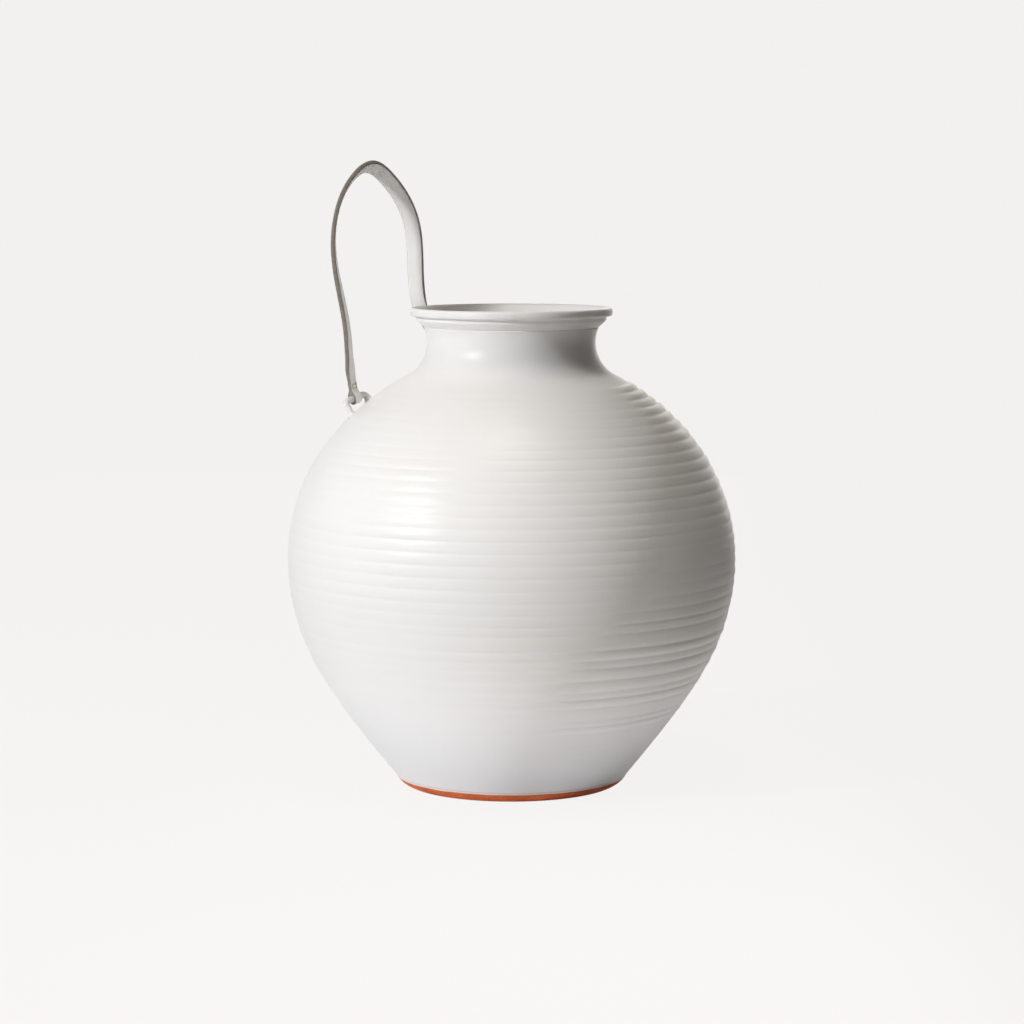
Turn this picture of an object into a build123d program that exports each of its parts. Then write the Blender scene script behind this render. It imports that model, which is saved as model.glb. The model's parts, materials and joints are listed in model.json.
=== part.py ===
"""Thrown water jar with a smooth collar, a bare clay foot and a looped leather handle."""
import os
from math import cos, hypot, pi, radians, sin

from build123d import *

# Vessel, in millimetres, on the Z axis with its foot on Z = 0; each rise is from the height before it
foot_radius = 93.4
foot_edge_inset = 9.4
foot_ring_width = 14.0
foot_height = 8.4
foot_edge_radius = 16.8
foot_wall_angle = 51.5
floor_thickness = 9.0
wall_thickness = 7.0
belly_radius = 178.2
flank_low_share = 0.739
flank_low_rise = 49.6
flank_high_share = 0.912
flank_high_rise = 51.0
belly_rise = 81.0
upper_share = 0.8855
upper_rise = 68.0
shoulder_share = 0.7015
shoulder_rise = 40.0
seam_radius = 82.0
seam_rise = 30.3
seam_angle = 152.0

# Throwing ridges, measured along the wall and out from it
ridge_pitch = 9.4
ridge_depth_shoulder = 1.9
ridge_depth_low = 0.8
ridge_crest_share = 0.36
ridge_top_margin = 11.5
ridge_low_drop = 40.0

# Collar with a moulding and a rounded lip; each rise and step is from the one before it
neck_radius = 67.1
neck_rise = 23.7
neck_wall = 6.0
neck_end_angle = 68.0
moulding_flare = 2.3
moulding_rise = 13.6
moulding_depth = 6.0
ledge_rise = 7.0
ledge_lean = 0.2
underside_rise = 1.7
lip_overhang = 2.4
lip_bulge = 3.0
lip_rise = 7.1
lip_inner_drop = 1.8
lip_thickness = 5.6
throat_angle = 53.0

# Lugs: clay loops whose bars share the line that the handle swings about
lug_bar_radius = 2.6
lug_bar_length = 16.0
lug_corner_radius = 3.6
lug_root_radius = 4.4
lug_flare_share = 0.85
lug_root_depth = 3.4
front_lug_share = 0.669
front_lug_angle = 180.0
front_lug_standoff = 8.4
rear_lug_margin = 5.0
rear_lug_angle = 129.5
rear_lug_standoff = 9.0

# Leather strap: full size along its length, thinned where its ends fold round the lug bars
strap_width = 13.2
strap_thickness = 3.7
strap_end_width = 6.6
fold_thickness = 1.9
fold_clearance = 0.4
fold_close_height = 6.6
fold_top_height = 11.5
fold_lap = 1.5
fold_margin = 0.15
handle_rise = 173.2
crown_along = 62.0
front_knee_inset = 5.0
front_knee_height = 55.0
front_leg_inset = 7.4
front_leg_height = 124.0
front_haunch_inset = 36.4
front_haunch_drop = 6.2
rear_haunch_inset = 23.0
rear_haunch_drop = 12.5
rear_leg_inset = 4.1
rear_leg_height = 117.0
rear_knee_inset = 10.4
rear_knee_height = 46.0
front_roll_angle = -62.0
rear_roll_angle = -12.0
end_roll_angle = -90.0
front_roll_share = 0.06
rear_roll_share = 0.16
strap_stations = 22

# Stitches that close each fold
stitch_length = 2.2
stitch_width = 0.9
stitch_height = 0.5
stitch_pitch = 2.9
stitch_row_spacing = 3.4
stitch_rows = 2
stitches_in_row = 2

# Fineness of the fitted curves and of the searches along them
plain_low_spans = 5
plain_top_spans = 2
inner_wall_spans = 9
search_steps = 40
landing_steps = 12

os.makedirs("parts", exist_ok=True)

foot_contact_radius = foot_radius - foot_edge_inset
foot_inner_radius = foot_contact_radius - foot_ring_width
flank_low_height = foot_height + flank_low_rise
flank_high_height = flank_low_height + flank_high_rise
belly_height = flank_high_height + belly_rise
upper_height = belly_height + upper_rise
shoulder_height = upper_height + shoulder_rise
seam_height = shoulder_height + seam_rise
neck_height = seam_height + neck_rise
moulding_height = neck_height + moulding_rise
ledge_height = moulding_height + ledge_rise
underside_height = ledge_height + underside_rise
jar_height = underside_height + lip_rise
moulding_low_radius = neck_radius + moulding_flare
moulding_radius = moulding_low_radius + moulding_depth
ledge_radius = moulding_radius - ledge_lean
lip_crest_radius = ledge_radius + lip_overhang
lip_radius = lip_crest_radius + lip_bulge
front_lug_radius = belly_radius * front_lug_share
rear_lug_radius = seam_radius + rear_lug_margin


def heading(angle):
    """Direction in radius and height, at an angle from straight outward."""
    return Vector(cos(radians(angle)), sin(radians(angle)))


# Line of the wall under its ridges, in radius and height, from the foot to the collar's seam
wall_line = Spline(
    (foot_radius, foot_height),
    (belly_radius * flank_low_share, flank_low_height),
    (belly_radius * flank_high_share, flank_high_height),
    (belly_radius, belly_height),
    (belly_radius * upper_share, upper_height),
    (belly_radius * shoulder_share, shoulder_height),
    (seam_radius, seam_height),
    tangents=(heading(foot_wall_angle), heading(seam_angle)),
)


def wall_normal(share):
    """Outward direction square to the wall line."""
    along = wall_line % share
    return Vector(along.Y, -along.X)


def inner_point(share):
    return wall_line @ share - wall_normal(share) * wall_thickness


def solve(measure, low, high):
    """Share of the wall line where a measure that rises from low to high crosses zero."""
    for _ in range(search_steps):
        middle = (low + high) / 2
        if measure(middle) < 0:
            low = middle
        else:
            high = middle
    return (low + high) / 2


belly_share = solve(lambda share: belly_height - (wall_line @ share).Y, 1, 0)


def share_at_radius(radius):
    """Share of the wall line above the belly that has this radius."""
    return solve(lambda share: radius - (wall_line @ share).X, belly_share, 1)


floor_top = foot_height + floor_thickness
floor_share = solve(lambda share: inner_point(share).Y - floor_top, 0, belly_share)
ridge_low_height = belly_height - ridge_low_drop
ridge_start = solve(lambda share: (wall_line @ share).Y - ridge_low_height, 0, belly_share)
ridge_end = share_at_radius(seam_radius + ridge_top_margin)
ridge_count = round((ridge_end - ridge_start) * wall_line.length / ridge_pitch)
ridge_step = (ridge_end - ridge_start) / ridge_count

with BuildPart() as foot_ring:
    with BuildSketch(Plane.XZ):
        with BuildLine():
            foot_inner = Line((foot_inner_radius, foot_height), (foot_inner_radius, 0))
            foot_contact = Line(foot_inner @ 1, (foot_contact_radius, 0))
            foot_edge = RadiusArc(foot_contact @ 1, (foot_radius, foot_height), -foot_edge_radius)
            Line(foot_edge @ 1, foot_inner @ 0)
        make_face()
    revolve(axis=Axis.Z)
foot_ring.part.label = "foot_ring"

with BuildPart() as jar_body:
    with BuildSketch(Plane.XZ):
        with BuildLine():
            plain_low = Spline(
                [wall_line @ (ridge_start * step / plain_low_spans) for step in range(plain_low_spans + 1)],
                tangents=(wall_line % 0, wall_line % ridge_start),
            )
            for index in range(ridge_count):
                low_share = ridge_start + index * ridge_step
                rise = index / (ridge_count - 1)
                depth = ridge_depth_low + (ridge_depth_shoulder - ridge_depth_low) * rise
                crest = []
                for part in (1 - ridge_crest_share, 1 + ridge_crest_share):
                    share = low_share + ridge_step * part / 2
                    crest.append(wall_line @ share + wall_normal(share) * depth)
                Polyline(wall_line @ low_share, *crest, wall_line @ (low_share + ridge_step))
            plain_top = Spline(
                [
                    wall_line @ (ridge_end + (1 - ridge_end) * step / plain_top_spans)
                    for step in range(plain_top_spans + 1)
                ],
                tangents=(wall_line % ridge_end, wall_line % 1),
            )
            Line(plain_top @ 1, inner_point(1))
            inner_wall = Spline(
                [
                    inner_point(1 + (floor_share - 1) * step / inner_wall_spans)
                    for step in range(inner_wall_spans + 1)
                ],
                tangents=(-(wall_line % 1), -(wall_line % floor_share)),
            )
            Polyline(inner_wall @ 1, (0, floor_top), (0, foot_height), plain_low @ 0)
        make_face()
    revolve(axis=Axis.Z)
jar_body.part.label = "jar_body"

with BuildPart() as neck_collar:
    with BuildSketch(Plane.XZ):
        with BuildLine():
            neck_outside = Spline(
                (seam_radius, seam_height),
                (neck_radius, neck_height),
                (moulding_low_radius, moulding_height),
                tangents=(wall_line % 1, heading(neck_end_angle)),
            )
            moulding = Polyline(
                neck_outside @ 1,
                (moulding_radius, ledge_height),
                (ledge_radius, underside_height),
                (lip_crest_radius, underside_height),
            )
            lip_middle = (underside_height + jar_height) / 2
            lip = ThreePointArc(moulding @ 1, (lip_radius, lip_middle), (lip_crest_radius, jar_height))
            lip_inner = Line(lip @ 1, (lip_radius - lip_thickness, jar_height - lip_inner_drop))
            Spline(
                lip_inner @ 1,
                (neck_radius - neck_wall, neck_height),
                inner_point(1),
                tangents=(-heading(throat_angle), -(wall_line % 1)),
            )
            Line(inner_point(1), neck_outside @ 0)
        make_face()
    revolve(axis=Axis.Z)
neck_collar.part.label = "neck_collar"


def around(angle, radius, height):
    """Point at an angle turned from +X towards +Y."""
    return Vector(radius * cos(radians(angle)), radius * sin(radians(angle)), height)


def seat(angle, radius, standoff):
    """Centre of a lug bar that stands off the shoulder, and the wall's outward direction there."""
    share = share_at_radius(radius)
    out = wall_normal(share)
    outward = around(angle, out.X, out.Y)
    on_wall = wall_line @ share
    return around(angle, on_wall.X, on_wall.Y) + outward * standoff, outward


front_eye, front_out = seat(front_lug_angle, front_lug_radius, front_lug_standoff)
rear_eye, rear_out = seat(rear_lug_angle, rear_lug_radius, rear_lug_standoff)
lug_spacing = (rear_eye - front_eye).length
swing_axis = (rear_eye - front_eye).normalized()
swing_up = (Axis.Z.direction - swing_axis * swing_axis.Z).normalized()
swing_side = swing_axis.cross(swing_up)


def wall_gap(point):
    """Distance from a point outside the vessel to the wall line."""
    return wall_line.distance_to(Vertex(hypot(point.X, point.Y), point.Z, 0))


def lug(eye, outward):
    """Clay loop with its bar on the swing axis and its two roots in the shoulder."""
    leg_up = (outward - swing_axis * outward.dot(swing_axis)).normalized()
    half_span = lug_bar_length / 2 + lug_corner_radius
    corners = [eye - swing_axis * half_span, eye + swing_axis * half_span]
    landings = []
    for corner in corners:
        point = corner
        for _ in range(landing_steps):
            point = point - leg_up * wall_gap(point)
        landings.append(point)
    roots = [point - leg_up * lug_root_depth for point in landings]
    with BuildPart() as loop:
        with BuildLine() as loop_line:
            FilletPolyline(roots[0], corners[0], corners[1], roots[1], radius=lug_corner_radius)
        with BuildSketch(Plane(origin=roots[0], z_dir=leg_up)):
            Circle(lug_bar_radius)
        sweep(path=loop_line.line)
        for root, corner in zip(roots, corners):
            straight = (corner - root).length - lug_corner_radius
            with Locations(Plane(origin=root, z_dir=leg_up)):
                Cone(
                    lug_root_radius,
                    lug_bar_radius,
                    straight * lug_flare_share,
                    align=(Align.CENTER, Align.CENTER, Align.MIN),
                )
        add(jar_body.part, mode=Mode.SUBTRACT)
        add(neck_collar.part, mode=Mode.SUBTRACT)
    return loop


front_lug = lug(front_eye, front_out)
front_lug.part.label = "front_lug"
rear_lug = lug(rear_eye, rear_out)
rear_lug.part.label = "rear_lug"


def on_handle(along, up):
    """Point measured from the front lug's eye along the swing axis and up from it."""
    return front_eye + swing_axis * along + swing_up * up


strap_line = Spline(
    on_handle(0, fold_top_height),
    on_handle(front_knee_inset, front_knee_height),
    on_handle(front_leg_inset, front_leg_height),
    on_handle(front_haunch_inset, handle_rise - front_haunch_drop),
    on_handle(crown_along, handle_rise),
    on_handle(lug_spacing - rear_haunch_inset, handle_rise - rear_haunch_drop),
    on_handle(lug_spacing - rear_leg_inset, rear_leg_height),
    on_handle(lug_spacing - rear_knee_inset, rear_knee_height),
    on_handle(lug_spacing, fold_top_height),
    tangents=(swing_up, -swing_up),
)


def end_blend(share):
    """1 at the folded ends of the strap, easing to 0 along its free length."""
    nearness = min(share / front_roll_share, (1 - share) / rear_roll_share)
    return (1 + cos(pi * min(nearness, 1))) / 2


def strap_plane(share):
    """Plane of the strap's section, rolled about the strap's own line."""
    forward = strap_line % share
    flat = (-swing_side - forward * forward.dot(-swing_side)).normalized()
    free_roll = front_roll_angle + (rear_roll_angle - front_roll_angle) * share
    roll = radians(free_roll + (end_roll_angle - free_roll) * end_blend(share))
    across = flat * cos(roll) + forward.cross(flat) * sin(roll)
    return Plane(origin=strap_line @ share, x_dir=across, z_dir=forward)


def fold_plane(eye):
    """Plane square to the swing axis at a lug's eye, with the strap's rise along Y."""
    return Plane(origin=eye, x_dir=swing_side, z_dir=-swing_axis)


fold_inner_radius = lug_bar_radius + fold_clearance
fold_outer_radius = fold_inner_radius + fold_thickness
tab_thickness = 2 * (fold_thickness + fold_margin)
tab_width = strap_end_width + 2 * fold_margin
tab_low = fold_close_height - fold_lap
tab_top = fold_top_height + fold_lap
tab_middle = (tab_low + tab_top) / 2

with BuildPart() as handle_strap:
    for step in range(strap_stations + 1):
        station = step / strap_stations
        width = strap_width + (strap_end_width - strap_width) * end_blend(station)
        thickness = strap_thickness + (2 * fold_thickness - strap_thickness) * end_blend(station)
        with BuildSketch(strap_plane(station)):
            Rectangle(width, thickness)
    loft()
    for eye in (front_eye, rear_eye):
        with BuildSketch(fold_plane(eye)):
            with BuildLine():
                Line((-tab_thickness / 2, fold_close_height), (tab_thickness / 2, fold_close_height))
                CenterArc((0, 0), fold_outer_radius, 0, 360)
            make_hull()
            with Locations((0, tab_middle)):
                Rectangle(tab_thickness, tab_top - tab_low)
            Circle(fold_inner_radius, mode=Mode.SUBTRACT)
        extrude(amount=tab_width / 2, both=True)
handle_strap.part.label = "handle_strap"


def stitching(eye):
    """Rows of stitches on both faces of a closed fold."""
    with BuildPart() as rows:
        seam_middle = (fold_close_height + tab_top) / 2
        for side in (1, -1):
            face_point = eye + swing_up * seam_middle + swing_side * (side * tab_thickness / 2)
            with BuildSketch(Plane(origin=face_point, x_dir=swing_up, z_dir=swing_side * side)):
                with GridLocations(stitch_pitch, stitch_row_spacing, stitches_in_row, stitch_rows):
                    Rectangle(stitch_length, stitch_width)
            extrude(amount=stitch_height)
    return rows


front_stitches = stitching(front_eye)
front_stitches.part.label = "front_stitches"
rear_stitches = stitching(rear_eye)
rear_stitches.part.label = "rear_stitches"

print("swing axis through", front_eye, "towards", swing_axis)
print("ridges", ridge_count, "lug spacing", lug_spacing)

pieces = [
    foot_ring, jar_body, neck_collar, front_lug, rear_lug,
    handle_strap, front_stitches, rear_stitches,
]
for piece in pieces:
    export_step(piece.part, f"parts/{piece.part.label}.step")
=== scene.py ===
import json
import math

import bmesh
import bpy
import numpy as np
from mathutils import Matrix, Vector


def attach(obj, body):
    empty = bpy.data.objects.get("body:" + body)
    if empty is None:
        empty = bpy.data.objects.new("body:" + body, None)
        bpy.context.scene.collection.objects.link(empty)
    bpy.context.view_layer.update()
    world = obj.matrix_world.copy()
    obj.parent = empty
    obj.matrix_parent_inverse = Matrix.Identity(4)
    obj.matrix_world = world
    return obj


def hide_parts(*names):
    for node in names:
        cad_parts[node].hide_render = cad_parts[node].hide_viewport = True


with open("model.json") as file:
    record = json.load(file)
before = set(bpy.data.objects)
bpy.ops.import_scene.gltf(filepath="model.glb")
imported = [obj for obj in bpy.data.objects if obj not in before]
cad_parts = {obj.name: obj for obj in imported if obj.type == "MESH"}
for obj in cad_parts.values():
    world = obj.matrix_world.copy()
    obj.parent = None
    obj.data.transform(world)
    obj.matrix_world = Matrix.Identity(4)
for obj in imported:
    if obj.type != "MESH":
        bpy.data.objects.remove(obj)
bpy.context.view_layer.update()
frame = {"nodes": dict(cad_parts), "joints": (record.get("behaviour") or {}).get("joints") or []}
scene = bpy.context.scene
mm = 0.001
print("frame loaded:", sorted(frame["nodes"]))


# helpers for materials

def toLinear(hexColour):
    channels = [int(hexColour[i:i + 2], 16) / 255 for i in (1, 3, 5)]
    return [c / 12.92 if c <= 0.04045 else ((c + 0.055) / 1.055) ** 2.4 for c in channels] + [1.0]


def addNode(tree, kind, sockets=None, **settings):
    node = tree.nodes.new(kind)
    for name, value in settings.items():
        setattr(node, name, value)
    for name, value in (sockets or {}).items():
        if isinstance(value, bpy.types.NodeSocket):
            tree.links.new(value, node.inputs[name])
        else:
            node.inputs[name].default_value = value
    return node


def newMaterial(name):
    material = bpy.data.materials.new(name)
    material.use_nodes = True
    material.node_tree.nodes.clear()
    return material, material.node_tree


# helpers for shapes

def smoothLine(knots, startWay, endWay, steps):
    # a line with even curvature through the knots, in steps of equal length
    fineSteps = 80            # points on each span, before they are spaced evenly
    knots = np.array(knots, float)
    spans = np.linalg.norm(np.diff(knots, axis=0), axis=1)
    rows = np.eye(len(knots))
    wanted = np.zeros_like(knots)
    wanted[0] = np.array(startWay) / np.linalg.norm(startWay)
    wanted[-1] = np.array(endWay) / np.linalg.norm(endWay)
    for i in range(1, len(knots) - 1):
        before, after = spans[i - 1], spans[i]
        rows[i, i - 1:i + 2] = after, 2 * (before + after), before
        rise = after * (knots[i] - knots[i - 1]) / before
        wanted[i] = 3 * (rise + before * (knots[i + 1] - knots[i]) / after)
    slopes = np.linalg.solve(rows, wanted)
    t = np.linspace(0, 1, fineSteps, endpoint=False)[:, None]
    pieces = []
    for i, span in enumerate(spans):
        pieces.append(
            (1 + 2 * t) * (1 - t) ** 2 * knots[i] + t * (1 - t) ** 2 * span * slopes[i]
            + t * t * (3 - 2 * t) * knots[i + 1] + t * t * (t - 1) * span * slopes[i + 1]
        )
    fine = np.vstack(pieces + [knots[-1:]])
    run = np.concatenate([[0], np.cumsum(np.linalg.norm(np.diff(fine, axis=0), axis=1))])
    stops = np.linspace(0, run[-1], steps + 1)
    return np.stack([np.interp(stops, run, fine[:, k]) for k in range(fine.shape[1])], axis=1), run[-1]


def smoothStep(low, high, value):
    share = np.clip((value - low) / (high - low), 0, 1)
    return share * share * (3 - 2 * share)


def heading(degrees):
    return math.cos(math.radians(degrees)), math.sin(math.radians(degrees))


def wayAlong(points, index):
    # the way that a line of points runs at one of them
    return (points[min(index + 1, len(points) - 1)] - points[max(index - 1, 0)]).normalized()


def finishPiece(bm, name, material, node, body, sharpAngle=40):
    # closes the mesh, smooths it apart from its sharp edges, and ties it to its node and body
    bmesh.ops.remove_doubles(bm, verts=bm.verts, dist=0.001 * mm)
    bmesh.ops.recalc_face_normals(bm, faces=bm.faces)
    for face in bm.faces:
        face.smooth = True
    for edge in bm.edges:
        edge.smooth = edge.is_boundary or edge.calc_face_angle(0) < math.radians(sharpAngle)
    mesh = bpy.data.meshes.new(name)
    bm.to_mesh(mesh)
    bm.free()
    mesh.materials.append(material)
    piece = bpy.data.objects.new(name, mesh)
    scene.collection.objects.link(piece)
    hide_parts(node)
    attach(piece, body)
    print(name, "faces", len(mesh.polygons))


def spinProfile(profile, steps, marks=None):
    # turns a closed profile of radius and height, in mm, about the jar's axis
    bm = bmesh.new()
    crest = bm.verts.layers.float.new("crest")
    station = bm.verts.layers.int.new("station")
    verts = []
    for index, (radius, height) in enumerate(profile):
        vert = bm.verts.new((radius * mm, 0, height * mm))
        vert[crest] = marks[index] if marks is not None else 0
        vert[station] = index
        verts.append(vert)
    for index in range(len(verts)):
        bm.edges.new((verts[index], verts[(index + 1) % len(verts)]))
    bmesh.ops.spin(
        bm, geom=bm.verts[:] + bm.edges[:], cent=(0, 0, 0), axis=(0, 0, 1),
        angle=2 * math.pi, steps=steps, use_merge=True,
    )
    return bm


def sweepRings(bm, places, sides):
    # rings of the given radius at each place, joined by bridges, with closed ends
    before = None
    first = None
    for matrix, radius in places:
        made = bmesh.ops.create_circle(bm, cap_ends=False, segments=sides, radius=radius, matrix=matrix)
        edges = list(dict.fromkeys(e for v in made["verts"] for e in v.link_edges))
        if before:
            bmesh.ops.bridge_loops(bm, edges=before + edges)
        else:
            first = edges
        before = edges
    bmesh.ops.contextual_create(bm, geom=first)
    bmesh.ops.contextual_create(bm, geom=before)


# materials

whiteGlaze = {
    "glaze": "#ecebea",       # tin-white glaze over red clay
    "thick": "#f6f6f8",       # whiter lower down: painted light bounced up from the floor
    "paintedBounceFrom": 150,         # height in mm where the painted floor light starts
    "paintedBounceFull": 60,           # height in mm below which the painted floor light is whole
    "thin": "#e8e4de",        # where it runs thin on the crests
    "roughness": (0.31, 0.42),  # satin, from slow cooling
    "ior": 1.5,
    "specular": 0.21,
    "toneMm": 55,             # cloudy patches
    "toneReach": (0.3, 0.7),  # most of the patches' noise lies between these
    "wheelMm": 1.6,           # fine lines from the thrower's fingers, drawn coarse enough to show
    "wheelStretch": 0.06,     # they are drawn out round the jar
    "wheelDepthMm": 0.25,
    "wheelStrength": 0.35,
    "peelMm": 0.9,            # orange peel in the glaze
    "peelDepthMm": 0.06,
    "peelStrength": 0.2,
    "wipeMm": 22,             # waves in the edge that was wiped by hand
    "wipeEdgeMm": 0.3,        # how soft that edge is
}
bareClay = {
    "tones": [(0.33, "#c55f34"), (0.5, "#e5743f"), (0.68, "#ee935c")],   # from dark to pale
    "gritMm": 0.7,            # sand grains in the fired clay
    "gritDepthMm": 0.3,
    "gritStrength": 0.5,
    "patchMm": 18,            # paler where slip dried on it
    "roughness": 0.85,
}


def clayColour(tree, place):
    # fired red earthenware: sandy, matt, a little paler where slip dried on it
    grit = addNode(tree, "ShaderNodeTexNoise", {
        "Vector": place, "Scale": 1 / (bareClay["gritMm"] * 2 * mm), "Detail": 4.0, "Roughness": 0.65,
    })
    patch = addNode(tree, "ShaderNodeTexNoise", {
        "Vector": place, "Scale": 1 / (bareClay["patchMm"] * mm), "Detail": 2.0,
    })
    tone = addNode(tree, "ShaderNodeMath", {0: grit.outputs["Fac"], 1: patch.outputs["Fac"]}, operation="ADD")
    half = addNode(tree, "ShaderNodeMath", {0: tone.outputs[0], 1: 0.5}, operation="MULTIPLY")
    ramp = addNode(tree, "ShaderNodeValToRGB", {"Fac": half.outputs[0]})
    ramp.color_ramp.elements.new(0.5)
    for stop, (share, colour) in zip(ramp.color_ramp.elements, bareClay["tones"]):
        stop.position = share
        stop.color = toLinear(colour)
    bump = addNode(tree, "ShaderNodeBump", {
        "Height": grit.outputs["Fac"],
        "Strength": bareClay["gritStrength"], "Distance": bareClay["gritDepthMm"] * mm,
    })
    return ramp.outputs["Color"], bump.outputs["Normal"]


def makeGlaze(name, bareBelow=None, wanderMm=0.0, outsideOnly=False):
    # satin tin glaze, poured and fired: smooth skin, soft wide highlights, faint wheel lines under it
    material, tree = newMaterial(name)
    place = addNode(tree, "ShaderNodeTexCoord").outputs["Object"]
    cloud = addNode(tree, "ShaderNodeTexNoise", {
        "Vector": place, "Scale": 1 / (whiteGlaze["toneMm"] * mm), "Detail": 3.0, "Roughness": 0.55,
    })
    crest = addNode(tree, "ShaderNodeAttribute", attribute_name="crest")
    thin = addNode(tree, "ShaderNodeMath", {
        0: crest.outputs["Fac"], 1: cloud.outputs["Fac"],
    }, operation="MULTIPLY")
    apart = addNode(tree, "ShaderNodeSeparateXYZ", {"Vector": place})
    # lower down the glaze colour turns whiter: painted light bounced up from the floor
    run = addNode(tree, "ShaderNodeMapRange", {
        "Value": apart.outputs["Z"],
        "From Min": whiteGlaze["paintedBounceFrom"] * mm, "From Max": whiteGlaze["paintedBounceFull"] * mm,
    }, interpolation_type="SMOOTHSTEP")
    floorLitGlaze = addNode(tree, "ShaderNodeMix", {
        "Factor": run.outputs["Result"],
        "A": toLinear(whiteGlaze["glaze"]), "B": toLinear(whiteGlaze["thick"]),
    }, data_type="RGBA").outputs["Result"]
    colour = addNode(tree, "ShaderNodeMix", {
        "Factor": thin.outputs[0], "A": floorLitGlaze, "B": toLinear(whiteGlaze["thin"]),
    }, data_type="RGBA").outputs["Result"]
    stretch = whiteGlaze["wheelStretch"]
    stretched = addNode(tree, "ShaderNodeMapping", {"Vector": place, "Scale": (stretch, stretch, 1.0)})
    wheel = addNode(tree, "ShaderNodeTexNoise", {
        "Vector": stretched.outputs["Vector"], "Scale": 1 / (whiteGlaze["wheelMm"] * 2 * mm), "Detail": 2.0,
    })
    peel = addNode(tree, "ShaderNodeTexNoise", {
        "Vector": place, "Scale": 1 / (whiteGlaze["peelMm"] * 2 * mm), "Detail": 1.0,
    })
    lines = addNode(tree, "ShaderNodeBump", {
        "Height": wheel.outputs["Fac"],
        "Strength": whiteGlaze["wheelStrength"], "Distance": whiteGlaze["wheelDepthMm"] * mm,
    })
    skin = addNode(tree, "ShaderNodeBump", {
        "Height": peel.outputs["Fac"], "Normal": lines.outputs["Normal"],
        "Strength": whiteGlaze["peelStrength"], "Distance": whiteGlaze["peelDepthMm"] * mm,
    })
    smoothest, roughest = whiteGlaze["roughness"]
    cloudLow, cloudHigh = whiteGlaze["toneReach"]
    rough = addNode(tree, "ShaderNodeMapRange", {
        "Value": cloud.outputs["Fac"], "From Min": cloudLow, "From Max": cloudHigh,
        "To Min": smoothest, "To Max": roughest,
    })
    shader = addNode(tree, "ShaderNodeBsdfPrincipled", {
        "Base Color": colour, "Roughness": rough.outputs["Result"], "Normal": skin.outputs["Normal"],
        "IOR": whiteGlaze["ior"], "Specular IOR Level": whiteGlaze["specular"],
    })
    surface = shader.outputs["BSDF"]
    if bareBelow:
        # the glaze was wiped off by hand near the foot, so its edge wanders a little
        wander = addNode(tree, "ShaderNodeTexNoise", {
            "Vector": place, "Scale": 1 / (whiteGlaze["wipeMm"] * mm), "Detail": 2.0,
        })
        edge = addNode(tree, "ShaderNodeMath", {
            0: wander.outputs["Fac"], 1: wanderMm * mm, 2: apart.outputs["Z"],
        }, operation="MULTIPLY_ADD")
        covered = addNode(tree, "ShaderNodeMapRange", {
            "Value": edge.outputs[0],
            "From Min": bareBelow * mm, "From Max": (bareBelow + whiteGlaze["wipeEdgeMm"]) * mm,
        }).outputs["Result"]
        if outsideOnly:
            covered = addNode(tree, "ShaderNodeMath", {
                0: covered, 1: crest.outputs["Fac"],
            }, operation="MULTIPLY").outputs[0]
        clay, clayBump = clayColour(tree, place)
        bare = addNode(tree, "ShaderNodeBsdfPrincipled", {
            "Base Color": clay, "Roughness": bareClay["roughness"], "Normal": clayBump,
        })
        surface = addNode(tree, "ShaderNodeMixShader", {
            0: covered, 1: bare.outputs["BSDF"], 2: surface,
        }).outputs["Shader"]
    addNode(tree, "ShaderNodeOutputMaterial", {"Surface": surface})
    return material


paleLeather = {
    "face": "#f6f5f3",        # alum-tawed hide, almost white
    "shade": "#eeece8",
    "shadeMm": 14,            # patches of the two tones
    "edge": "#6d665e",        # burnished edge, stained taupe
    "edgeWorn": "#948d84",
    "wearMm": 3,              # rubbed spots along the edge
    "grainMm": 0.8,
    "grainDepthMm": 0.1,
    "grainStrength": 0.04,
    "roughness": 0.52,
    "edgeRoughness": 0.38,
    "ior": 1.45,
}


def makeLeather():
    # alum-tawed strap leather: dry, fine pebbled grain, edges dyed dark and rubbed smooth
    material, tree = newMaterial("tawedLeather")
    place = addNode(tree, "ShaderNodeTexCoord").outputs["Object"]
    edge = addNode(tree, "ShaderNodeAttribute", attribute_name="edge")
    cloud = addNode(tree, "ShaderNodeTexNoise", {
        "Vector": place, "Scale": 1 / (paleLeather["shadeMm"] * mm), "Detail": 4.0,
    })
    face = addNode(tree, "ShaderNodeMix", {
        "Factor": cloud.outputs["Fac"],
        "A": toLinear(paleLeather["face"]), "B": toLinear(paleLeather["shade"]),
    }, data_type="RGBA")
    wear = addNode(tree, "ShaderNodeTexNoise", {
        "Vector": place, "Scale": 1 / (paleLeather["wearMm"] * mm), "Detail": 3.0,
    })
    worn = addNode(tree, "ShaderNodeMix", {
        "Factor": wear.outputs["Fac"],
        "A": toLinear(paleLeather["edge"]), "B": toLinear(paleLeather["edgeWorn"]),
    }, data_type="RGBA")
    colour = addNode(tree, "ShaderNodeMix", {
        "Factor": edge.outputs["Fac"], "A": face.outputs["Result"], "B": worn.outputs["Result"],
    }, data_type="RGBA")
    grain = addNode(tree, "ShaderNodeTexVoronoi", {
        "Vector": place, "Scale": 1 / (paleLeather["grainMm"] * mm),
    }, feature="SMOOTH_F1")
    bump = addNode(tree, "ShaderNodeBump", {
        "Height": grain.outputs["Distance"],
        "Strength": paleLeather["grainStrength"], "Distance": paleLeather["grainDepthMm"] * mm,
    })
    rough = addNode(tree, "ShaderNodeMapRange", {
        "Value": edge.outputs["Fac"],
        "To Min": paleLeather["roughness"], "To Max": paleLeather["edgeRoughness"],
    })
    shader = addNode(tree, "ShaderNodeBsdfPrincipled", {
        "Base Color": colour.outputs["Result"], "Roughness": rough.outputs["Result"],
        "Normal": bump.outputs["Normal"], "IOR": paleLeather["ior"],
    })
    addNode(tree, "ShaderNodeOutputMaterial", {"Surface": shader.outputs["BSDF"]})
    return material


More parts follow.
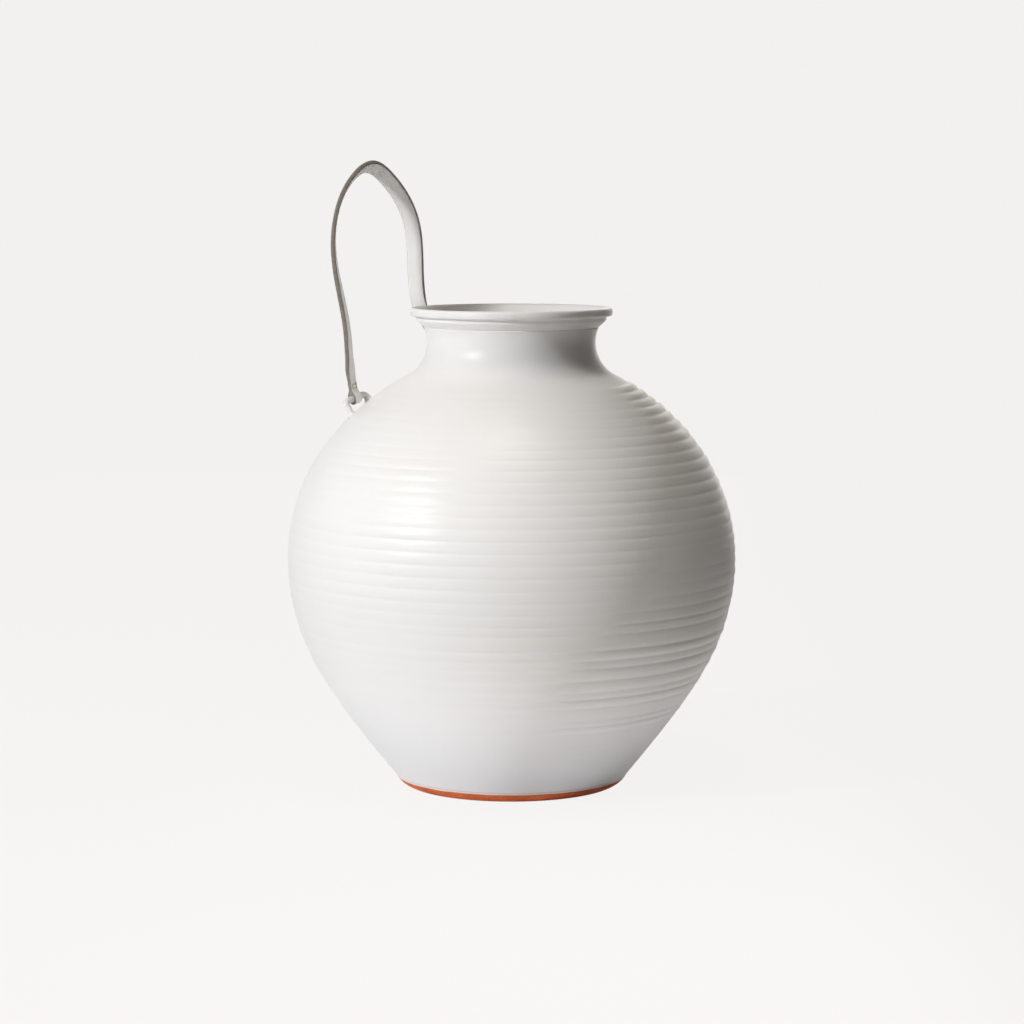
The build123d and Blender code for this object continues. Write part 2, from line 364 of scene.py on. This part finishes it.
waxedThread = {
    "flax": "#b9ac94",
    "wax": "#8d8069",
    "plyMm": 0.5,
    "waveScale": 0.16,        # draws each band about two plies wide, so that it shows
    "waver": 1.5,
    "plyDepthMm": 0.1,
    "plyStrength": 0.6,
    "roughness": 0.55,
}


def makeThread():
    # waxed linen thread: two plies, dull shine
    material, tree = newMaterial("waxedLinen")
    place = addNode(tree, "ShaderNodeTexCoord").outputs["Object"]
    ply = addNode(tree, "ShaderNodeTexWave", {
        "Vector": place, "Scale": waxedThread["waveScale"] / (waxedThread["plyMm"] * mm),
        "Distortion": waxedThread["waver"],
    }, bands_direction="DIAGONAL")
    colour = addNode(tree, "ShaderNodeMix", {
        "Factor": ply.outputs["Fac"], "A": toLinear(waxedThread["wax"]), "B": toLinear(waxedThread["flax"]),
    }, data_type="RGBA")
    bump = addNode(tree, "ShaderNodeBump", {
        "Height": ply.outputs["Fac"],
        "Strength": waxedThread["plyStrength"], "Distance": waxedThread["plyDepthMm"] * mm,
    })
    shader = addNode(tree, "ShaderNodeBsdfPrincipled", {
        "Base Color": colour.outputs["Result"], "Roughness": waxedThread["roughness"],
        "Normal": bump.outputs["Normal"],
    })
    addNode(tree, "ShaderNodeOutputMaterial", {"Surface": shader.outputs["BSDF"]})
    return material


bodyGlaze = makeGlaze("satinTinGlaze", bareBelow=8.42)   # bare on its underside
collarGlaze = makeGlaze("satinTinGlazeCollar")
earthenware = makeGlaze("bareEarthenware", bareBelow=7.2, wanderMm=1.2, outsideOnly=True)
leather = makeLeather()
linen = makeThread()
print("materials made")


# jar body, in mm as radius and height

jarBody = {
    "wall": [
        (93.4, 8.4), (131.69, 58), (162.52, 109), (178.2, 190), (157.8, 258), (125.01, 298), (82, 328.3),
    ],
    "wallSteps": 420,
    "turns": 168,
    "footSlope": 51.5,
    "seamSlope": 152.0,
    "thickness": 7.0,
    "floorTop": 17.4,
    "floorCorner": 6.0,       # from the wall to the flat of the floor
    "innerEvery": 8,          # the plain inside needs fewer rings than the ridges
    "ridgeLow": 150.0,        # height where the plain ridges start
    "ridgeTop": 93.5,         # radius where they stop
    "ridges": 22,
    "depthLow": 0.72,
    "depthTop": 1.75,
    "roundness": 0.85,        # below 1, crests are full and grooves narrow
    "bareCrest": 1.5,         # glaze runs thinnest on a ridge this deep
    "uneven": 0.3,            # how much a ridge varies round the jar and from the next one
    "unevenBeat": 2.4,        # from one ridge to the next
    "drift": ((3, 90), (5, -47)),   # waves round the jar, and how they turn with each metre up
    "fadeLow": 26.0,          # the faint ridges below die out here
    "fadeRidges": 2,          # and are whole this many ridges under the plain ones
    "faintDepth": 1.2,
    "faintShift": (0.22, 1.9),   # faint ridges are spaced unevenly: how much, and its beat
    "faintSwell": (0.3, 2.3),    # and unevenly deep
    "filled": 0.26,           # depth left where the glaze ran into the grooves, all but the right-hand side
    "shoulderLoss": 0.6,      # less is left on the shoulder, over these heights
    "shoulder": (272, 296),
    "thumbed": 0.5,           # more is left on the front left
    "thumbedAt": -120,        # degrees round from the right
    "thumbedWide": 12,
    "thumbedTop": (262, 282),
    "rightSide": (0.78, 0.985),  # cosine of the way round, over which the whole depth comes back
    "faintLeft": 0.2,         # depth left of the faint ridges, all but the right-hand side
    "faintSide": (-0.45, 0.2),
    "faintToPlain": (138, 172),  # heights from the faint ridges' fill to that of the plain ones
}

wall, wallLength = smoothLine(
    jarBody["wall"], heading(jarBody["footSlope"]), heading(jarBody["seamSlope"]), jarBody["wallSteps"],
)
wallRun = np.linspace(0, wallLength, len(wall))
wallWay = np.gradient(wall, wallRun, axis=0)
wallWay /= np.linalg.norm(wallWay, axis=1)[:, None]
wallOut = np.stack([wallWay[:, 1], -wallWay[:, 0]], axis=1)
belly = int(wall[:, 0].argmax())
ridgeFrom = np.interp(jarBody["ridgeLow"], wall[:belly, 1], wallRun[:belly])
ridgeTo = np.interp(-jarBody["ridgeTop"], -wall[belly:, 0], wallRun[belly:])
pitch = (ridgeTo - ridgeFrom) / jarBody["ridges"]
faintFrom = np.interp(jarBody["fadeLow"], wall[:belly, 1], wallRun[:belly])


def ridgeShape(run):
    # how far the wall stands out, and how near a crest it is
    if run > ridgeTo:
        return 0.0, 0.0
    phase = (run - ridgeFrom) / pitch
    if run < ridgeFrom:
        shift, shiftBeat = jarBody["faintShift"]
        swell, swellBeat = jarBody["faintSwell"]
        phase += shift * math.sin(phase * shiftBeat)
        fade = smoothStep(faintFrom, ridgeFrom - jarBody["fadeRidges"] * pitch, run)
        depth = jarBody["faintDepth"] * fade * (1 - swell + swell * math.sin(phase * swellBeat))
    else:
        rise = (run - ridgeFrom) / (ridgeTo - ridgeFrom)
        depth = jarBody["depthLow"] + (jarBody["depthTop"] - jarBody["depthLow"]) * rise
    ridge = math.floor(phase)
    depth *= 1 - jarBody["uneven"] * (0.5 + 0.5 * math.sin(ridge * jarBody["unevenBeat"]))
    across = 2 * (phase - ridge) - 1
    height = (1 - across * across) ** jarBody["roundness"]
    return depth * height, height * min(depth / jarBody["bareCrest"], 1)


def ridgeKept(around, height):
    # share of a ridge left by the glaze: most on the right, some on the front left, least on the shoulder
    right = math.cos(around)
    share = jarBody["filled"]
    share *= 1 - jarBody["shoulderLoss"] * smoothStep(*jarBody["shoulder"], height)
    fromThumb = (math.degrees(around) - jarBody["thumbedAt"]) / jarBody["thumbedWide"]
    underTop = 1 - smoothStep(*jarBody["thumbedTop"], height)
    share += jarBody["thumbed"] * math.exp(-fromThumb ** 2) * underTop
    share += (1 - share) * smoothStep(*jarBody["rightSide"], right)
    faint = jarBody["faintLeft"]
    faint += (1 - faint) * smoothStep(*jarBody["faintSide"], right)
    return faint + (share - faint) * smoothStep(*jarBody["faintToPlain"], height)


ridgeRise, crestMarks = zip(*[ridgeShape(run) for run in wallRun])
outerWall = [tuple(p) for p in wall + wallOut * np.array(ridgeRise)[:, None]]
floorTop = jarBody["floorTop"]
innerWall = [tuple(p - o * jarBody["thickness"]) for p, o in zip(wall, wallOut)]
innerWall = [p for p in innerWall if p[1] >= floorTop][::-jarBody["innerEvery"]]
innerFloor = [(innerWall[-1][0] - jarBody["floorCorner"], floorTop), (0, floorTop)]
underside = [(0, jarBody["wall"][0][1])]
bodyProfile = outerWall + innerWall + innerFloor + underside
bm = spinProfile(bodyProfile, jarBody["turns"], list(crestMarks) + [0] * (len(bodyProfile) - len(wall)))
crestLayer = bm.verts.layers.float["crest"]
stationLayer = bm.verts.layers.int["station"]
for vert in bm.verts:
    index = vert[stationLayer]
    if index < len(wall):
        around = math.atan2(vert.co.y, vert.co.x)
        drift = math.prod(math.sin(waves * around + turn * vert.co.z) for waves, turn in jarBody["drift"])
        kept = (1 - jarBody["uneven"] * (0.5 + 0.5 * drift)) * ridgeKept(around, wall[index][1])
        lost = wallOut[index] * ridgeRise[index] * mm * (1 - kept)
        vert.co -= Vector((lost[0] * math.cos(around), lost[0] * math.sin(around), lost[1]))
        vert[crestLayer] *= kept
finishPiece(bm, "jarBody", bodyGlaze, "jar_body", "jar")


# collar

neckCollar = {
    "neck": [(82, 328.3), (67.1, 352), (69.4, 365.6)],
    "neckEnd": 68.0,
    "neckSteps": 44,
    "moulding": [
        (69.1, 365.9), (70.1, 366.7), (72.4, 368.7), (74.6, 370.8), (75.35, 371.7),
        (75.6, 372.4), (75.6, 373.9), (76.0, 374.6),
    ],
    "lipRoot": (77.6, 374.9),
    "lipRadius": 80.6,
    "lipTop": 381.4,
    "lipInner": (75.0, 379.6),
    "lipStep": 12,            # degrees
    "lipFullness": (0.6, 0.8),   # out and up; 1 is a half round, and less looks flat from the side
    "throat": (61.1, 352),
    "throatEnd": 53.0,
    "throatSteps": 24,
    "turns": 168,
}
neckOutside, _ = smoothLine(
    neckCollar["neck"], heading(jarBody["seamSlope"]), heading(neckCollar["neckEnd"]),
    neckCollar["neckSteps"],
)
lipIn, lipLow = neckCollar["lipRoot"]
lipMiddle = (lipLow + neckCollar["lipTop"]) / 2
lipHalf = (neckCollar["lipTop"] - lipLow) / 2
lipReach = neckCollar["lipRadius"] - lipIn
fullOut, fullUp = neckCollar["lipFullness"]
lip = []
for degrees in range(-90, 91, neckCollar["lipStep"]):
    out, up = heading(degrees)
    out = max(out, 0) ** fullOut
    up = math.copysign(abs(up) ** fullUp, up)
    lip.append((lipIn + lipReach * out, lipMiddle + lipHalf * up))
seamInner = tuple(wall[-1] - wallOut[-1] * jarBody["thickness"])
throat, _ = smoothLine(
    [neckCollar["lipInner"], neckCollar["throat"], seamInner],
    [-v for v in heading(neckCollar["throatEnd"])], [-v for v in heading(jarBody["seamSlope"])],
    neckCollar["throatSteps"],
)
collarProfile = [tuple(p) for p in neckOutside] + neckCollar["moulding"] + lip + [tuple(p) for p in throat]
bm = spinProfile(collarProfile, neckCollar["turns"])
finishPiece(bm, "neckCollar", collarGlaze, "neck_collar", "jar")


# foot ring

footRing = {
    "inner": 70, "contact": 84, "outer": 93.4, "height": 8.4, "innerBreak": 0.6,
    "edgeRadius": 16.8, "edgeSteps": 10, "turns": 168,
}
chord = Vector((footRing["outer"] - footRing["contact"], footRing["height"]))
sag = footRing["edgeRadius"] - math.sqrt(footRing["edgeRadius"] ** 2 - (chord.length / 2) ** 2)
outward = Vector((chord.y, -chord.x)).normalized()
footInner, footBreak = footRing["inner"], footRing["innerBreak"]
footUnder = [(footInner, footRing["height"]), (footInner, footBreak), (footInner + footBreak, 0)]
footUnder.append((footRing["contact"], 0))
footOutside = []
for index in range(1, footRing["edgeSteps"]):
    share = index / footRing["edgeSteps"]
    bulge = outward * sag * 4 * share * (1 - share)
    footOutside.append((footRing["contact"] + chord.x * share + bulge.x, chord.y * share + bulge.y))
footOutside.append((footRing["outer"], footRing["height"]))
# the marks let the glaze onto the outside alone
footMarks = [0] * len(footUnder) + [1] * len(footOutside)
bm = spinProfile(footUnder + footOutside, footRing["turns"], footMarks)
finishPiece(bm, "footRing", earthenware, "foot_ring", "jar")


# lugs, whose bars lie on the line that the handle swings about

lugLoop = {
    "spacing": 99.823,        # from the middle of one bar to the other
    "bar": 2.6, "barLength": 16.0, "corner": 3.6, "root": 4.4, "sink": 1.2, "flare": 1.9,
    "pinch": 0.02, "pinchBeat": 1.7,   # uneven from the fingers
    "sides": 20, "legSteps": 7, "cornerSteps": 6, "barSteps": 6,
    "settle": 12,             # steps that bring a root onto the curved wall
}
joint = frame["joints"][0]
swingAxis = Vector(joint["axis"]).normalized()
swingUp = (Vector((0, 0, 1)) - swingAxis * swingAxis.z).normalized()
swingSide = swingAxis.cross(swingUp)
eyeFront = Vector(joint["pos_m"])
eyeRear = eyeFront + swingAxis * lugLoop["spacing"] * mm


def onJar(point):
    # signed gap from a point to the wall under its ridges, and the wall's outward way there
    flat = np.array([math.hypot(point.x, point.y), point.z]) / mm
    gaps = np.linalg.norm(wall - flat, axis=1)
    near = int(gaps.argmin())
    out = wallOut[near]
    around = math.atan2(point.y, point.x)
    way = Vector((out[0] * math.cos(around), out[0] * math.sin(around), out[1]))
    return float((flat - wall[near]) @ out) * mm, way


def lugRoot(corner, legUp):
    # where a leg that comes down from the corner goes into the wall
    point = corner.copy()
    for _ in range(lugLoop["settle"]):
        point -= legUp * onJar(point)[0]
    return point - legUp * lugLoop["sink"] * mm


def lugLeg(root, corner, legUp, inward):
    # centre line from a root up its leg and round the corner to the bar
    radius = lugLoop["corner"] * mm
    line = []
    for index in range(lugLoop["legSteps"]):
        line.append(root.lerp(corner - legUp * radius, index / lugLoop["legSteps"]))
    for index in range(lugLoop["cornerSteps"] + 1):
        over, up = heading(90 * index / lugLoop["cornerSteps"])
        line.append(corner + inward * radius * (1 - over) - legUp * radius * (1 - up))
    return line


def makeLug(name, eye, node):
    bm = bmesh.new()
    _, out = onJar(eye)
    legUp = (out - swingAxis * out.dot(swingAxis)).normalized()
    side = legUp.cross(swingAxis)
    half = swingAxis * (lugLoop["barLength"] / 2 + lugLoop["corner"]) * mm
    roots = [lugRoot(eye - half, legUp), lugRoot(eye + half, legUp)]
    firstLeg = lugLeg(roots[0], eye - half, legUp, swingAxis)
    lastLeg = lugLeg(roots[1], eye + half, legUp, -swingAxis)[::-1]
    steps = lugLoop["barSteps"]
    bar = [firstLeg[-1].lerp(lastLeg[0], index / steps) for index in range(1, steps)]
    line = firstLeg + bar + lastLeg
    places = []
    for index, point in enumerate(line):
        way = wayAlong(line, index)
        turn = Matrix((side, way.cross(side), way)).transposed().to_4x4()
        # wiped on with wet clay, so each root spreads over the wall
        low = min((point - root).length for root in roots) / mm
        spread = (lugLoop["root"] - lugLoop["bar"]) * math.exp(-low / lugLoop["flare"])
        pinch = 1 + lugLoop["pinch"] * math.sin(index * lugLoop["pinchBeat"])
        places.append((Matrix.Translation(point) @ turn, (lugLoop["bar"] * pinch + spread) * mm))
    sweepRings(bm, places, lugLoop["sides"])
    finishPiece(bm, name, collarGlaze, node, "jar", sharpAngle=60)


makeLug("frontLug", eyeFront, "front_lug")
makeLug("rearLug", eyeRear, "rear_lug")


# leather handle

strap = {
    "width": 13.2, "thickness": 3.7, "edgeRound": 0.9, "stations": 180,
    # along the swing line and up from it
    "line": [
        (0, 11.5), (5.0, 55), (7.4, 124), (36.4, 167.0), (62.0, 173.1),
        (lugLoop["spacing"] - 23.0, 160.7), (lugLoop["spacing"] - 4.1, 117), (lugLoop["spacing"] - 10.4, 46),
        (lugLoop["spacing"], 11.5),
    ],
    # degrees of roll at the two ends of the free length and at the folds
    "frontRoll": -62.0, "rearRoll": -12.0, "endRoll": -90.0,
    # share of the length over which each end narrows
    "frontShare": 0.06, "rearShare": 0.16,
    "endWidth": 6.6, "fold": 1.9, "foldGap": 0.4, "foldClose": 6.6, "foldTop": 11.5, "foldLap": 1.5,
    "foldProud": 0.2, "foldRound": 0.45, "foldSteps": 30, "lapSteps": 6,
    "cornerSteps": 4,
    "flatShare": 0.86,        # the faces stay flat out to here
    "dyed": (0.25, 0.75),     # how far a corner turns from the face where the dye starts, and where it covers
}

flatLine, _ = smoothLine(strap["line"], (0, 1), (0, -1), strap["stations"])
strapLine = [eyeFront + (swingAxis * along + swingUp * up) * mm for along, up in flatLine]


def endBlend(share):
    # 1 at the folded ends of the strap, easing to 0 along its free length
    nearness = min(share / strap["frontShare"], (1 - share) / strap["rearShare"])
    return (1 + math.cos(math.pi * min(nearness, 1))) / 2


def strapSection():
    # shares of the half width and half thickness, and of the rounding, round a strap's outline
    outline = []
    for corner in range(4):
        right = 1 if corner in (0, 3) else -1
        top = 1 if corner in (0, 1) else -1
        bends = []
        for step in range(strap["cornerSteps"] + 1):
            bends.append((right, top, *heading(90 * (corner + step / strap["cornerSteps"]))))
        # a point on each flat face, so that the faces stay flat up to their edges
        flat = (right * strap["flatShare"], top, 0, top)
        outline += bends + [flat] if corner in (0, 2) else [flat] + bends
    return outline


def extrudeStrip(bm, stations):
    # each station: place, across way, face way, width, thickness, rounding; all in metres
    side = bm.verts.layers.float_color.get("section") or bm.verts.layers.float_color.new("section")
    mark = bm.verts.layers.float.get("edge") or bm.verts.layers.float.new("edge")
    ring = []
    for signX, signY, bendX, bendY in strapSection():
        vert = bm.verts.new((0, 0, 0))
        vert[side] = (signX, signY, bendX, bendY)
        vert[mark] = smoothStep(*strap["dyed"], abs(bendX))
        ring.append(vert)
    edges = [bm.edges.new((ring[i - 1], ring[i])) for i in range(len(ring))]
    firstEdges = edges
    for index, (place, across, face, width, thickness, rounding) in enumerate(stations):
        if index:
            made = bmesh.ops.extrude_edge_only(bm, edges=edges)["geom"]
            ring = [g for g in made if isinstance(g, bmesh.types.BMVert)]
            inRing = set(ring)
            edges = [
                g for g in made
                if isinstance(g, bmesh.types.BMEdge) and g.verts[0] in inRing and g.verts[1] in inRing
            ]
        for vert in ring:
            signX, signY, bendX, bendY = vert[side]
            x = signX * (width / 2 - rounding) + bendX * rounding
            y = signY * (thickness / 2 - rounding) + bendY * rounding
            vert.co = place + across * x + face * y
    bmesh.ops.contextual_create(bm, geom=firstEdges)
    bmesh.ops.contextual_create(bm, geom=edges)


bm = bmesh.new()
stations = []
for index, place in enumerate(strapLine):
    share = index / strap["stations"]
    ending = endBlend(share)
    forward = wayAlong(strapLine, index)
    flat = (-swingSide + forward * forward.dot(swingSide)).normalized()
    freeRoll = strap["frontRoll"] + (strap["rearRoll"] - strap["frontRoll"]) * share
    roll = math.radians(freeRoll + (strap["endRoll"] - freeRoll) * ending)
    across = flat * math.cos(roll) + forward.cross(flat) * math.sin(roll)
    width = strap["width"] + (strap["endWidth"] - strap["width"]) * ending
    thickness = strap["thickness"] + (2 * strap["fold"] - strap["thickness"]) * ending
    stations.append((
        place, across, forward.cross(across), width * mm, thickness * mm, strap["edgeRound"] * mm,
    ))
extrudeStrip(bm, stations)

# each end is split, taken round its lug bar and brought back up
foldHalf = strap["fold"] / 2
foldMiddle = foldHalf + lugLoop["bar"] + strap["foldGap"]
foldStart = math.degrees(math.asin((foldMiddle - foldHalf) / strap["foldClose"]))
lap = np.linspace(strap["foldTop"] + strap["foldLap"], strap["foldClose"], strap["lapSteps"])
foldPath = [(foldHalf, up) for up in lap]
for degrees in np.linspace(foldStart, -180 - foldStart, strap["foldSteps"]):
    reach, up = heading(degrees)
    foldPath.append((foldMiddle * reach, foldMiddle * up))
foldPath += [(-foldHalf, up) for up in lap[::-1]]
for eye in (eyeFront, eyeRear):
    points = [eye + (swingSide * x + swingUp * y) * mm for x, y in foldPath]
    stations = []
    for index, place in enumerate(points):
        stations.append((
            place, swingAxis, wayAlong(points, index).cross(swingAxis),
            (strap["endWidth"] + strap["foldProud"]) * mm, strap["fold"] * mm, strap["foldRound"] * mm,
        ))
    extrudeStrip(bm, stations)
finishPiece(bm, "handleStrap", leather, "handle_strap", "handle", sharpAngle=70)


# stitches that close the folds

stitch = {
    "length": 2.2, "width": 0.9, "height": 0.5, "pitch": 2.9, "rows": 3.4,
    "seat": 0.05,             # off the leather's face
    "sunk": 0.55,             # share of the height by which the ends go down
    "endWidth": 0.62,         # share of the width at the ends
    "steps": 8, "sides": 8,
}


def makeStitches(name, eye, node):
    bm = bmesh.new()
    middle = (strap["foldClose"] + strap["foldTop"] + strap["foldLap"]) / 2
    for side in (1, -1):
        outward = swingSide * side
        turn = Matrix((swingAxis, outward, swingUp)).transposed().to_4x4()
        for row in (-0.5, 0.5):
            for step in (-0.5, 0.5):
                foot = eye + swingUp * (middle + step * stitch["pitch"]) * mm
                foot += swingAxis * row * stitch["rows"] * mm
                foot += outward * (strap["fold"] + stitch["seat"]) * mm
                places = []
                for index in range(stitch["steps"] + 1):
                    share = index / stitch["steps"] * 2 - 1
                    lift = stitch["height"] * (math.sqrt(1 - share ** 4) - stitch["sunk"])
                    centre = foot + swingUp * share * stitch["length"] / 2 * mm + outward * lift * mm
                    thick = stitch["endWidth"] + (1 - stitch["endWidth"]) * (1 - share ** 2)
                    places.append((Matrix.Translation(centre) @ turn, stitch["width"] / 2 * thick * mm))
                sweepRings(bm, places, stitch["sides"])
    finishPiece(bm, name, linen, node, "handle", sharpAngle=60)


makeStitches("frontStitches", eyeFront, "front_stitches")
makeStitches("rearStitches", eyeRear, "rear_stitches")


# floor, backdrop and light

studio = {
    "paper": "#f4f3f2",
    "shadeFlag": "#5c4d3d",       # dark sheet of floor to the right, there only to cut the light bounced onto the jar's shaded right side: painted shade
    "shadeFlagFrom": 0.2,
    "shadeFlagTo": 0.42,
    "seenPaper": "#f8f6f4",
    "floorShare": 0.05,       # how much of the floor's own light and shade the camera sees
    "floorHalf": 4.0,         # floor and backdrop, in m
    "sweepRadius": 1.0,
    "sweepSteps": 12,
    "backRise": 3.0,
    "sky": "#ffdfb8",         # the room's own faint light
    "skyLevel": 0.015,
    "seenSky": "#f3f1ef",     # what shows past the edge of the paper
    # what it points at, around from the viewer's side, up, away in m, width in m, spread, watts, colour
    "lamps": {
        "keyLamp": ((0, 0, 0.22), -53, 26, 2.5, 0.22, 180, 43.2, "#fbfdff"),
        "topLamp": ((0, 0, 0.22), -30, 80, 2.2, 0.9, 180, 9.4, "#fff3e2"),
        "floorLamp": ((0.1, -0.62, 0), 0, 90, 1.1, 0.8, 54, 1.5, "#fffdfa"),
        "backLamp": ((0, 0, 0.22), 168, 6, 2.5, 1.6, 180, 9.0, "#fffaf4"),
    },
}


def seenRay(tree):
    # 1 for a ray that shows the background: from the camera, in a reflection or through glass
    ray = addNode(tree, "ShaderNodeLightPath")
    seen = addNode(tree, "ShaderNodeMath", {
        0: ray.outputs["Is Camera Ray"], 1: ray.outputs["Is Glossy Ray"],
    }, operation="MAXIMUM")
    through = addNode(tree, "ShaderNodeMath", {
        0: seen.outputs[0], 1: ray.outputs["Is Transmission Ray"],
    }, operation="MAXIMUM")
    return through.outputs[0]


def makePaper():
    # matt background paper: it keeps the shadow, and the camera sees it at its own tone
    material, tree = newMaterial("backgroundPaper")
    share = addNode(tree, "ShaderNodeMath", {
        0: seenRay(tree), 1: 1 - studio["floorShare"],
    }, operation="MULTIPLY")
    place = addNode(tree, "ShaderNodeTexCoord").outputs["Object"]
    apart = addNode(tree, "ShaderNodeSeparateXYZ", {"Vector": place})
    # to the right the floor turns dark: painted shade that cuts the bounce light on the jar's shaded side
    underShadeFlag = addNode(tree, "ShaderNodeMapRange", {
        "Value": apart.outputs["X"], "From Min": studio["shadeFlagFrom"], "From Max": studio["shadeFlagTo"],
    }, interpolation_type="SMOOTHSTEP")
    tone = addNode(tree, "ShaderNodeMix", {
        "Factor": underShadeFlag.outputs["Result"], "A": toLinear(studio["paper"]), "B": toLinear(studio["shadeFlag"]),
    }, data_type="RGBA")
    paper = addNode(tree, "ShaderNodeBsdfDiffuse", {"Color": tone.outputs["Result"]})
    glow = addNode(tree, "ShaderNodeEmission", {"Color": toLinear(studio["seenPaper"]), "Strength": 1.0})
    mixed = addNode(tree, "ShaderNodeMixShader", {
        0: share.outputs[0], 1: paper.outputs["BSDF"], 2: glow.outputs["Emission"],
    })
    addNode(tree, "ShaderNodeOutputMaterial", {"Surface": mixed.outputs["Shader"]})
    return material


def edgesPast(bm, axis, limit):
    # edges whose ends both come within 10 mm of the limit along an axis, or go past it
    return [e for e in bm.edges if all(v.co[axis] > limit - 10 * mm for v in e.verts)]


floorHalf, sweepRadius = studio["floorHalf"], studio["sweepRadius"]
bm = bmesh.new()
bmesh.ops.create_grid(bm, x_segments=1, y_segments=1, size=floorHalf)
backEdge = edgesPast(bm, 1, floorHalf)
bmesh.ops.spin(
    bm, geom=[*backEdge, *backEdge[0].verts], cent=(0, floorHalf, sweepRadius), axis=(1, 0, 0),
    angle=math.radians(90), steps=studio["sweepSteps"],
)
raised = bmesh.ops.extrude_edge_only(bm, edges=edgesPast(bm, 2, sweepRadius))["geom"]
raisedVerts = [g for g in raised if isinstance(g, bmesh.types.BMVert)]
bmesh.ops.translate(bm, verts=raisedVerts, vec=(0, 0, studio["backRise"]))
bmesh.ops.recalc_face_normals(bm, faces=bm.faces)
floorMesh = bpy.data.meshes.new("paperSweep")
bm.to_mesh(floorMesh)
bm.free()
floorMesh.materials.append(makePaper())
floor = bpy.data.objects.new("paperSweep", floorMesh)
scene.collection.objects.link(floor)

world = bpy.data.worlds.new("studioRoom")
scene.world = world
world.use_nodes = True
world.node_tree.nodes.clear()
sky = addNode(world.node_tree, "ShaderNodeBackground", {
    "Color": toLinear(studio["sky"]), "Strength": studio["skyLevel"],
})
seenSky = addNode(world.node_tree, "ShaderNodeBackground", {"Color": toLinear(studio["seenSky"])})
room = addNode(world.node_tree, "ShaderNodeMixShader", {
    0: seenRay(world.node_tree), 1: sky.outputs["Background"], 2: seenSky.outputs["Background"],
})
addNode(world.node_tree, "ShaderNodeOutputWorld", {"Surface": room.outputs["Shader"]})

for name, (aim, around, up, away, size, spread, watts, colour) in studio["lamps"].items():
    out, rise = heading(up)
    front, side = heading(around)
    reach = Vector((side * out, -front * out, rise))
    lamp = bpy.data.lights.new(name, "AREA")
    lamp.shape = "DISK"
    lamp.size = size
    lamp.spread = math.radians(spread)
    lamp.energy = watts
    lamp.color = toLinear(colour)[:3]
    holder = bpy.data.objects.new(name, lamp)
    holder.location = Vector(aim) + reach * away
    holder.rotation_euler = (-reach).to_track_quat("-Z", "Y").to_euler()
    scene.collection.objects.link(holder)


# camera: long lens, a little above the rim, tipped down

view = {"lens": 105.5, "sensor": 36, "far": 50, "place": (0.0005, -2.3854, 0.4820), "tip": 6.315}
camera = bpy.data.cameras.new("photoView")
camera.lens = view["lens"]
camera.sensor_width = view["sensor"]
camera.clip_end = view["far"]
cameraHolder = bpy.data.objects.new("photoView", camera)
cameraHolder.location = view["place"]
cameraHolder.rotation_euler = (math.radians(90 - view["tip"]), 0, 0)
scene.collection.objects.link(cameraHolder)
scene.camera = cameraHolder
scene.view_settings.view_transform = "Standard"
print("studio set")
